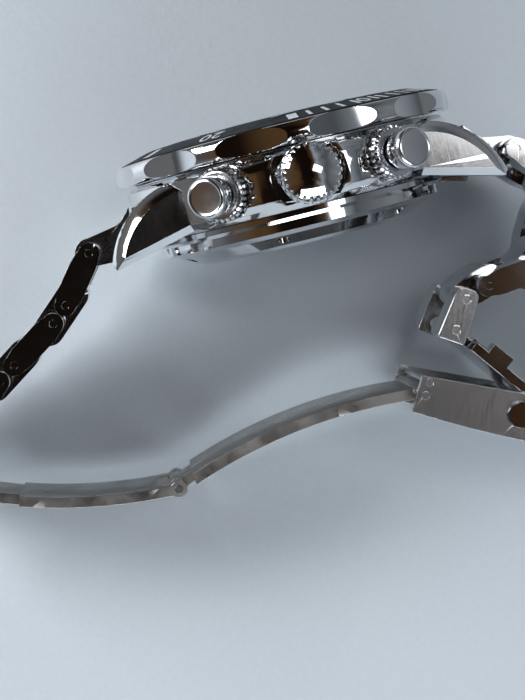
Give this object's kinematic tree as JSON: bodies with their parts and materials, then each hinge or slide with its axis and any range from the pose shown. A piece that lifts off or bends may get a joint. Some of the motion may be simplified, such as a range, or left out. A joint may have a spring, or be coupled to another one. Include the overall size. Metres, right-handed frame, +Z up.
{
  "type": "chronograph wristwatch",
  "caption": "Steel diver's chronograph wristwatch with a turning bezel, two pushers and a folding bracelet clasp lying open.",
  "frame": {"origin": "centre of the object's footprint on the table it lies on", "axes": "+Z up from the table, roughly along the winding crown; +X towards twelve o'clock, along the object's longest side; +Y roughly out of the dial"},
  "size_m": [0.0964, 0.0584, 0.0442],
  "materials": {
    "brushed_case": "fine brushed flanks with polished bevels",
    "polished_steel": "mirror polished",
    "link_steel": "long brushed grain",
    "link_core": "polished",
    "pin_steel": "turned",
    "blade_steel": "satin, handled",
    "bezel_black": "satin anodised black with pale marks",
    "dial_black": "matt black",
    "lume": "luminous paint",
    "hand_steel": "polished with a pale inlay",
    "red_paint": "enamel",
    "sapphire": "clear",
    "gasket": "moulded",
    "nylon": "moulded",
    "brass_plate": "rhodium over brass, circular grain",
    "gold_balance": "gilt"
  },
  "bodies": {
    "watch_case": {"mid_case": "brushed_case", "case_back": "polished_steel", "back_gasket": "gasket", "crystal": "sapphire", "crystal_gasket": "nylon", "rehaut_ring": "polished_steel", "dial": "dial_black", "dial_markers": "lume", "date_disc": "nylon", "movement_ring": "pin_steel", "main_plate": "brass_plate", "train_bridge": "brass_plate", "bridge_screws": "pin_steel", "crown_tube": "pin_steel", "pusher_tubes": "pin_steel", "pusher_collars": "polished_steel", "bezel_click_spring": "pin_steel", "end_link_6": "brushed_case", "end_link_12": "brushed_case", "spring_bars": "pin_steel", "pusher_spring_2": "pin_steel", "pusher_spring_4": "pin_steel"},
    "bezel": {"bezel_ring": "polished_steel", "bezel_insert": "bezel_black", "bezel_pearl": "lume"},
    "winding": {"winding_pinion": "pin_steel"},
    "crown_stem": {"crown": "polished_steel"},
    "start_pusher": {"pusher_2": "polished_steel"},
    "reset_pusher": {"pusher_4": "polished_steel"},
    "minute": {"minute_hand": "hand_steel"},
    "hour": {"hour_hand": "hand_steel"},
    "chrono": {"chrono_hand": "red_paint"},
    "small_seconds": {"small_seconds_hand": "hand_steel"},
    "minute_counter": {"minute_counter_hand": "hand_steel"},
    "hour_counter": {"hour_counter_hand": "hand_steel"},
    "rotor": {"rotor": "brass_plate"},
    "balance": {"balance_wheel": "gold_balance"},
    "link_6a": {"link_6a_sides": "link_steel", "link_6a_core": "link_core"},
    "link_6b": {"link_6b_sides": "link_steel", "link_6b_core": "link_core"},
    "link_6c": {"link_6c_sides": "link_steel", "link_6c_core": "link_core"},
    "link_6d": {"link_6d_sides": "link_steel"},
    "link_12a": {"link_12a_sides": "link_steel", "link_12a_core": "link_core"},
    "link_12b": {"link_12b_sides": "link_steel", "link_12b_core": "link_core"},
    "link_12c": {"link_12c_sides": "link_steel", "link_12c_core": "link_core"},
    "connector": {"connector_cheeks": "polished_steel", "connector_pins": "pin_steel"},
    "extension": {"extension_plate": "link_steel"},
    "clasp": {"clasp_cover": "link_steel", "clasp_pins": "pin_steel"},
    "button_near": {"clasp_button_near": "polished_steel"},
    "button_far": {"clasp_button_far": "polished_steel"},
    "blade_long": {"blade_long": "blade_steel"},
    "blade_short": {"blade_short": "blade_steel", "blade_pins": "pin_steel"}
  },
  "joints": [
    {"name": "bezel_turn", "type": "hinge", "parent": "watch_case", "child": "bezel", "pos_m": [0.00525, 0.02189, 0.02089], "axis": [0, 0.9577, 0.2879], "continuous": true},
    {"name": "crown_turn", "type": "hinge", "parent": "watch_case", "child": "winding", "pos_m": [0.00525, 0.01758, 0.01959], "axis": [-0.0595, -0.2874, 0.956], "continuous": true},
    {"name": "crown_pull", "type": "slide", "parent": "winding", "child": "crown_stem", "axis": [-0.0595, -0.2874, 0.956], "range_m": [0, 0.0012]},
    {"name": "start_push", "type": "slide", "parent": "watch_case", "child": "start_pusher", "axis": [-0.4002, 0.2638, -0.8776], "range_m": [0, 0.001], "stiffness_N_per_m": 1500, "springref_m": -0.0006, "deforming": ["pusher_spring_2"]},
    {"name": "reset_push", "type": "slide", "parent": "watch_case", "child": "reset_pusher", "axis": [0.5062, 0.2483, -0.8259], "range_m": [0, 0.001], "stiffness_N_per_m": 1500, "springref_m": -0.0006, "deforming": ["pusher_spring_4"]},
    {"name": "minute_turn", "type": "hinge", "parent": "watch_case", "child": "minute", "pos_m": [0.00525, 0.02045, 0.02045], "axis": [0, -0.9577, -0.2879], "continuous": true},
    {"name": "hour_turn", "type": "hinge", "parent": "watch_case", "child": "hour", "pos_m": [0.00525, 0.02045, 0.02045], "axis": [0, -0.9577, -0.2879], "continuous": true},
    {"name": "chrono_turn", "type": "hinge", "parent": "watch_case", "child": "chrono", "pos_m": [0.00525, 0.02045, 0.02045], "axis": [0, -0.9577, -0.2879], "continuous": true},
    {"name": "small_seconds_turn", "type": "hinge", "parent": "watch_case", "child": "small_seconds", "pos_m": [0.00568, 0.02156, 0.01328], "axis": [0, -0.9577, -0.2879], "continuous": true},
    {"name": "minute_counter_turn", "type": "hinge", "parent": "watch_case", "child": "minute_counter", "pos_m": [0.01244, 0.01937, 0.02058], "axis": [0, -0.9577, -0.2879], "continuous": true},
    {"name": "hour_counter_turn", "type": "hinge", "parent": "watch_case", "child": "hour_counter", "pos_m": [-0.00194, 0.01962, 0.01976], "axis": [0, -0.9577, -0.2879], "continuous": true},
    {"name": "rotor_turn", "type": "hinge", "parent": "watch_case", "child": "rotor", "pos_m": [0.00525, 0.01327, 0.01829], "axis": [0, 0.9577, 0.2879], "continuous": true},
    {"name": "balance_swing", "type": "hinge", "parent": "watch_case", "child": "balance", "pos_m": [-0.00119, 0.01361, 0.02584], "axis": [0, 0.9577, 0.2879], "range_deg": [-270, 270]},
    {"name": "link_6a_hinge", "type": "hinge", "parent": "watch_case", "child": "link_6a", "pos_m": [-0.0205, 0.01534, 0.01731], "axis": [-0.0595, -0.2874, 0.956], "range_deg": [-18, 9]},
    {"name": "link_6b_hinge", "type": "hinge", "parent": "link_6a", "child": "link_6b", "pos_m": [-0.02653, 0.00882, 0.01498], "axis": [-0.0595, -0.2874, 0.956], "range_deg": [-8, 17]},
    {"name": "link_6c_hinge", "type": "hinge", "parent": "link_6b", "child": "link_6c", "pos_m": [-0.03422, 0.00414, 0.01309], "axis": [-0.0595, -0.2874, 0.956], "range_deg": [-20, 16]},
    {"name": "link_6d_hinge", "type": "hinge", "parent": "link_6c", "child": "link_6d", "pos_m": [-0.0417, -0.00084, 0.01113], "axis": [-0.0595, -0.2874, 0.956], "range_deg": [-22, 14]},
    {"name": "link_12a_hinge", "type": "hinge", "parent": "watch_case", "child": "link_12a", "pos_m": [0.031, 0.01446, 0.02025], "axis": [-0.0595, -0.2874, 0.956], "range_deg": [-1, 12]},
    {"name": "link_12b_hinge", "type": "hinge", "parent": "link_12a", "child": "link_12b", "pos_m": [0.0361, 0.00751, 0.01848], "axis": [-0.0595, -0.2874, 0.956], "range_deg": [-1, 22]},
    {"name": "link_12c_hinge", "type": "hinge", "parent": "link_12b", "child": "link_12c", "pos_m": [0.03063, 0.00078, 0.01612], "axis": [-0.0595, -0.2874, 0.956], "range_deg": [-1, 22]},
    {"name": "connector_hinge", "type": "hinge", "parent": "link_12c", "child": "connector", "pos_m": [0.02123, -0.00061, 0.01512], "axis": [-0.0595, -0.2874, 0.956], "range_deg": [-1, 20]},
    {"name": "extension_hinge", "type": "hinge", "parent": "connector", "child": "extension", "pos_m": [0.0192, -0.00364, 0.01408], "axis": [-0.0595, -0.2874, 0.956], "range_deg": [-1.5, 15]},
    {"name": "cover_hinge", "type": "hinge", "parent": "extension", "child": "clasp", "pos_m": [0.02876, -0.01615, 0.01091], "axis": [-0.0595, -0.2874, 0.956], "range_deg": [-1, 25]},
    {"name": "button_near_push", "type": "slide", "parent": "clasp", "child": "button_near", "axis": [0.0595, 0.2874, -0.956], "range_m": [0, 0.0006], "stiffness_N_per_m": 800, "springref_m": -0.0006},
    {"name": "button_far_push", "type": "slide", "parent": "clasp", "child": "button_far", "axis": [-0.0595, -0.2874, 0.956], "range_m": [0, 0.0006], "stiffness_N_per_m": 800, "springref_m": -0.0006},
    {"name": "blade_long_hinge", "type": "hinge", "parent": "clasp", "child": "blade_long", "pos_m": [0.01382, -0.00994, 0.01185], "axis": [-0.0595, -0.2874, 0.956], "range_deg": [-1, 20]},
    {"name": "blade_short_hinge", "type": "hinge", "parent": "blade_long", "child": "blade_short", "pos_m": [-0.01711, -0.01335, 0.0089], "axis": [-0.0595, -0.2874, 0.956], "range_deg": [-2, 40]}
  ],
  "couplings": [
    {"joint": "hour_turn", "follows": "minute_turn", "ratio": 0.083333},
    {"joint": "minute_counter_turn", "follows": "chrono_turn", "ratio": 0.033333},
    {"joint": "hour_counter_turn", "follows": "chrono_turn", "ratio": 0.0013889}
  ]
}
